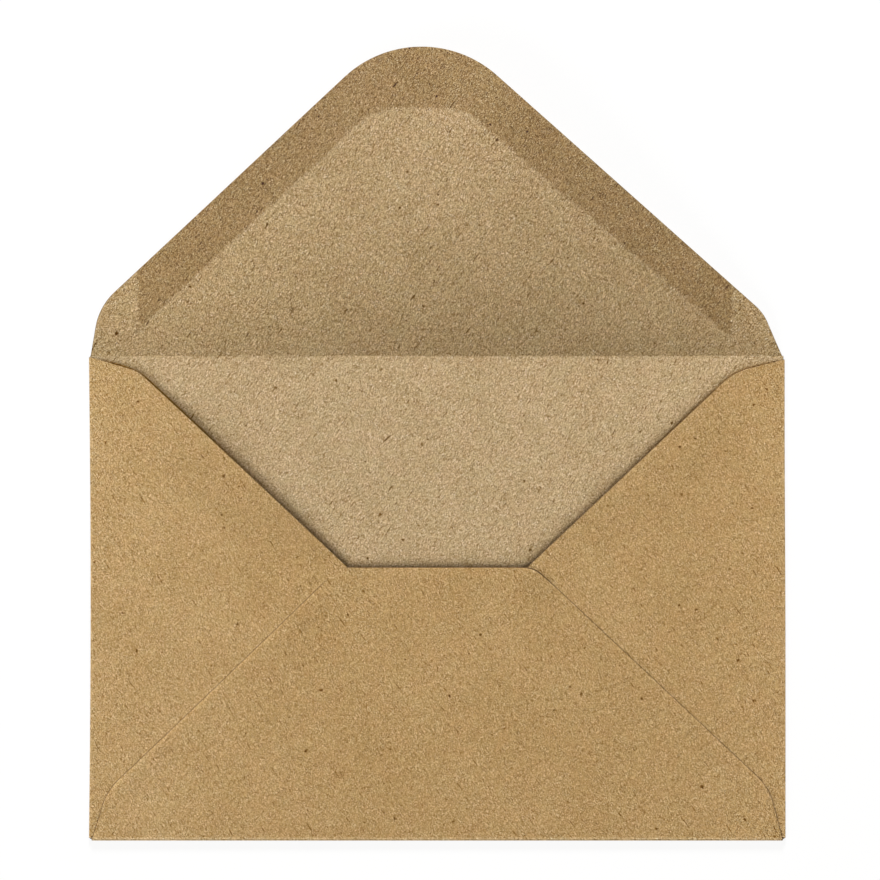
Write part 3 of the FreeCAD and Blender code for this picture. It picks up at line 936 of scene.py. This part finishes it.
# painted light: how far from the middle of a panel the outside is painted lighter, on the left
# and on the right
NEAR_LEFT = (34.0, 68.0)
NEAR_RIGHT = (58.0, 78.0)

# painted shade: how much darker the front panel's inside is painted beside each edge of the
# throat, where the flaps' edges shade it: the edges, all along, and in a thin line near the edge's
# upper end
THROAT_PAINTED_SHADE = (
    ((LEFT_DIAGONAL, LEFT_TOP), 0.25, 0.54),
    ((RIGHT_DIAGONAL, RIGHT_TOP), 0.15, 0.38),
    ((THROAT_BOTTOM,), 0.1, 0.0),
)
# how this painted shade is shared among red, green and blue, and where it fades
PAINTED_SHADE_TINT = (0.78, 1.0, 1.35)
PAINTED_SHADE_EDGE = (2.4, -0.3)
THIN_EDGE = (0.65, 0.05)
THIN_RISE = (20.0, 44.0)
PAINTED_SHADE_TOP = (VALLEY_Y - 0.2, VALLEY_Y - 2.0)
CORNER_SOFTNESS = 2.5

# the gum's soft inner border: where its soaked colour starts and is full, and how far and how
# finely it wanders
SOAKED = (0.1, 1.2)
BORDER_WANDER = 1.8
BORDER_SCALE = 0.55
BORDER_START = 5.0

# the glue's streaks and their soft edge
GLUE_DARK = (0.3, 0.18, 0.08, 1)
GLUE_LIGHT = (0.42, 0.28, 0.14, 1)
GLUE_EDGE = (-0.25, 0.25)


def to_light(level):
    """A picture level as a share of white light."""
    v = min(max(level / 255, 0.0), 1.0)
    return v / 12.92 if v <= 0.04045 else ((v + 0.055) / 1.055) ** 2.4


def shades(nodes, level, colour):
    """The colour, with each of its channels moved by about the same number of picture levels."""
    stops = []
    for share in SHADE_STOPS:
        step = SPAN * (share - 0.5)
        moved = [to_light(channel + step * part) for channel, part in zip(colour, CHANNELS)]
        stops.append((share, (*moved, 1)))
    return nodes.ramp(nodes.maths("MULTIPLY_ADD", level, 1 / SPAN, 0.5, clamp=True), stops)


def throat_painted_shade(nodes, across, up):
    """The painted shade beside the throat's edges: the factor by which the front panel is darker
    and browner there.
    """
    flat_spot = nodes.spot(across, up, 0.0)

    def beyond(edge):
        """How far a spot lies from an edge, towards the throat's middle."""
        along = (edge[1] - edge[0]).normalized()
        way = Vector((along.y, -along.x, 0))
        return nodes.minus(nodes.vectors("DOT_PRODUCT", flat_spot, way), way.xy.dot(edge[0]))

    high = nodes.between(up, *THIN_RISE)
    darkness = 0.0
    for edges, strength, thin_strength in THROAT_PAINTED_SHADE:
        distance = beyond(edges[0])
        for edge in edges[1:]:
            distance = nodes.maths("SMOOTH_MAX", distance, beyond(edge), CORNER_SOFTNESS)
        thin = nodes.between(distance, *THIN_EDGE, 0.0, thin_strength)
        wide = nodes.between(distance, *PAINTED_SHADE_EDGE, 0.0, strength)
        darkness = nodes.maths("MAXIMUM", nodes.maths("MULTIPLY_ADD", thin, high, wide), darkness)
    darkness = nodes.times(darkness, nodes.between(up, *PAINTED_SHADE_TOP))
    return nodes.vectors("SUBTRACT", (1, 1, 1), nodes.vectors("MULTIPLY", PAINTED_SHADE_TINT, darkness))


def on_flap(nodes, up, elsewhere=0.0, there=1.0):
    """One number on the open flap and another elsewhere."""
    return nodes.between(up, VALLEY_Y - CREASE_HALF, VALLEY_Y + CREASE_HALF, elsewhere, there)


def tinted(nodes, colour, across, up, side):
    """The colour with the paper's faint drift between pink and olive, painted shade that makes the
    flap and the throat's edges darker and browner, and painted light that makes the outside
    lighter near the left and the right fold."""
    spot = nodes.spot(across, up, DRIFT_START)
    drift = nodes.between(nodes.cloud(spot, DRIFT_SCALE), *DRIFT_EDGE)
    near_crease = nodes.between(up, VALLEY_Y + FLAP_SHADE_REACH, VALLEY_Y)
    from_middle = nodes.maths("PINGPONG", across, SIDE_FOLD_X + SIDE_ARC / 2)
    on_left = nodes.maths("LESS_THAN", across, 0.0)
    on_right = nodes.maths("GREATER_THAN", across, 0.0)
    left = nodes.times(nodes.between(from_middle, *NEAR_LEFT), on_left)
    right = nodes.times(nodes.between(from_middle, *NEAR_RIGHT), on_right)
    # painted shade beside the throat and on the flap, and painted light near the side folds
    factors = (
        nodes.mixed(side, throat_painted_shade(nodes, across, up), PLAIN),
        nodes.mixed(drift, PINK, OLIVE),
        nodes.mixed(on_flap(nodes, up), PLAIN, nodes.mixed(near_crease, FLAP_PAINTED_SHADE_FAR, FLAP_PAINTED_SHADE_NEAR_CREASE)),
        nodes.mixed(nodes.times(left, side), PLAIN, LEFT_PAINTED_LIGHT),
        nodes.mixed(nodes.times(right, side), PLAIN, RIGHT_PAINTED_LIGHT),
    )
    for factor in factors:
        colour = nodes.vectors("MULTIPLY", factor, colour)
    return colour


def finish_paper(nodes, colour, raised, roughness, shine):
    """Gives the shader its colour, its small bumps and its shine."""
    bump = nodes.add("ShaderNodeBump", {"Height": raised, "Distance": BUMP, "Strength": 1.0})
    nodes.feed(nodes.shader, {
        "Base Color": colour,
        "Roughness": roughness,
        "Specular IOR Level": shine,
        "Normal": bump.outputs[0],
    })


def kraft_material():
    """Recycled kraft paper: greyer inside the envelope than outside, and darker where it is cut,
    where its dark colour is partly painted shade.
    """
    material = bpy.data.materials.new("kraft_paper")
    nodes = Nodes(material)
    level, raised, across, up, side = paper_pattern(nodes)
    # on the flap, the stronger pattern is painted light and shade
    inner_level = nodes.times(level, on_flap(nodes, up, INSIDE_CONTRAST, FLAP_PAINTED_RAKE_CONTRAST))
    skins = nodes.mixed(side, shades(nodes, inner_level, INSIDE), shades(nodes, level, OUTSIDE))
    # side runs from 0 to 1 over the cut edge, so this is 1 in its middle
    cut = nodes.times(nodes.times(side, nodes.minus(1.0, side)), 4.0)
    # the cut edge's dark colour, partly painted shade
    with_edge_shade = nodes.mixed(nodes.between(cut, 0.0, CUT_SHOWS), skins, CUT_AND_PAINTED_SHADE)
    colour = tinted(nodes, with_edge_shade, across, up, side)
    finish_paper(nodes, colour, raised, roughness=0.9, shine=0.25)
    return material


def gum_material():
    """Dried gum that has soaked into the paper, with a soft, wandering inner border."""
    material = bpy.data.materials.new("dried_gum")
    nodes = Nodes(material)
    level, raised, across, up, side = paper_pattern(nodes)
    inner = nodes.add("ShaderNodeAttribute", attribute_name="depth", attribute_type="GEOMETRY")
    wander = nodes.cloud(nodes.spot(across, up, BORDER_START), BORDER_SCALE)
    border = nodes.maths("MULTIPLY_ADD", wander, BORDER_WANDER, inner.outputs["Fac"])
    gummed = shades(nodes, nodes.times(level, GUM_CONTRAST), GUM)
    bare = shades(nodes, nodes.times(level, FLAP_PAINTED_RAKE_CONTRAST), INSIDE)
    soaked = nodes.mixed(nodes.between(border, *SOAKED), bare, gummed)
    colour = tinted(nodes, soaked, across, up, 0.0)
    finish_paper(nodes, colour, raised, roughness=0.6, shine=0.35)
    return material


def glue_material():
    """Dried paper glue: clear amber, a little streaky."""
    material = bpy.data.materials.new("seam_glue")
    nodes = Nodes(material)
    where = nodes.add("ShaderNodeTexCoord").outputs["Object"]
    streaky = nodes.between(nodes.streaks(where, GLUE_FORM), *GLUE_EDGE)
    colour = nodes.mixed(streaky, GLUE_DARK, GLUE_LIGHT)
    nodes.feed(nodes.shader, {"Base Color": colour, "Roughness": 0.5})
    return material


sheet = sheet_mesh()
sheet.data.materials.append(kraft_material())
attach(sheet, "root")
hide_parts("envelope_sheet")

glue = glue_material()
for node in ("left_seam_glue", "right_seam_glue"):
    seam = bpy.data.objects[node]
    seam.data.materials.clear()
    seam.data.materials.append(glue)

gum = gum_mesh()
gum.data.materials.append(gum_material())
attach(gum, "root")
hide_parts("flap_gum")

FLOOR_REACH = 4.0
FLOOR_DROP = 0.1 * MM
FLOOR_GREY = (0.93, 0.93, 0.93, 1)
# how much of the floor is even white, so that the object's shadow shows faintly
FLOOR_GLOW = 0.88
WHITE = (1, 1, 1, 1)

# the camera looks straight down, from far off
FIELD = 204.68 * MM
LENS = 1000.0
SENSOR = 36.0
AIM = Vector((0.64, 36.81, 0)) * MM
CLIP = (0.1, 20.0)

# square lamps: azimuth, 0 at the right of the picture and 90 at its top, elevation, the share
# of the plain level that each gives on a level surface, and its width
TARGET = Vector((0, 20, 0)) * MM
DISTANCE = 1.6
LAMPS = (
    ("top_lamp", 90, 18, 0.57, 0.26),
    ("left_lamp", 215, 28, 0.33, 1.0),
    ("right_lamp", 0, 42, 0.12, 0.6),
)
# the light from all round
WORLD_LEVEL = 0.15
WORLD_COLOUR = (1.12, 1.0, 0.82, 1)


def seen_rays(nodes):
    """1 for rays from the camera, straight or by a mirror or glass, and 0 for others."""
    path = nodes.add("ShaderNodeLightPath")
    seen = path.outputs["Is Camera Ray"]
    for kind in ("Is Glossy Ray", "Is Transmission Ray"):
        seen = nodes.maths("MAXIMUM", seen, path.outputs[kind])
    return seen


def white_floor():
    """A white table, which shows the object's shadow faintly."""
    corners = ((-1, -1), (1, -1), (1, 1), (-1, 1))
    points = [(x * FLOOR_REACH, y * FLOOR_REACH, -FLOOR_DROP) for x, y in corners]
    mesh = bpy.data.meshes.new("floor")
    mesh.from_pydata(points, [], [(0, 1, 2, 3)])
    material = bpy.data.materials.new("white_table")
    nodes = Nodes(material)
    nodes.feed(nodes.shader, {"Base Color": FLOOR_GREY, "Roughness": 0.8})
    white = nodes.add("ShaderNodeEmission", {"Color": WHITE, "Strength": 1.0})
    glow = nodes.times(seen_rays(nodes), FLOOR_GLOW)
    both = nodes.add(
        "ShaderNodeMixShader", {0: glow, 1: nodes.shader.outputs[0], 2: white.outputs[0]}
    )
    nodes.feed(nodes.tree.nodes["Material Output"], {"Surface": both.outputs[0]})
    mesh.materials.append(material)
    return linked("floor", mesh)


def add_camera():
    """The camera, above the envelope."""
    lens = bpy.data.cameras.new("camera")
    lens.lens = LENS
    lens.sensor_width = SENSOR
    lens.clip_start, lens.clip_end = CLIP
    camera = linked("camera", lens)
    camera.location = AIM + Vector((0, 0, FIELD * LENS / SENSOR))
    bpy.context.scene.camera = camera


def add_lamp(name, azimuth, elevation, share, width):
    """A square lamp that looks at the envelope."""
    a, e = math.radians(azimuth), math.radians(elevation)
    out = Vector((math.cos(a) * math.cos(e), math.sin(a) * math.cos(e), math.sin(e)))
    light = bpy.data.lights.new(name, "AREA")
    light.size = width
    light.energy = share * math.pi ** 2 * DISTANCE ** 2 / math.sin(e)
    lamp = linked(name, light)
    lamp.location = TARGET + out * DISTANCE
    lamp.rotation_mode = "QUATERNION"
    lamp.rotation_quaternion = out.to_track_quat("Z", "Y")


def studio_world():
    """Even light from all round, behind which the camera sees white."""
    world = bpy.data.worlds.new("studio")
    nodes = Nodes(world, "Background")
    seen = seen_rays(nodes)
    nodes.feed(nodes.shader, {
        "Strength": nodes.between(seen, 0.0, 1.0, WORLD_LEVEL, 1.0),
        "Color": nodes.mixed(seen, WORLD_COLOUR, WHITE),
    })
    return world


floor = white_floor()
add_camera()
for form in LAMPS:
    add_lamp(*form)
bpy.context.scene.world = studio_world()
bpy.context.scene.view_settings.view_transform = "Standard"
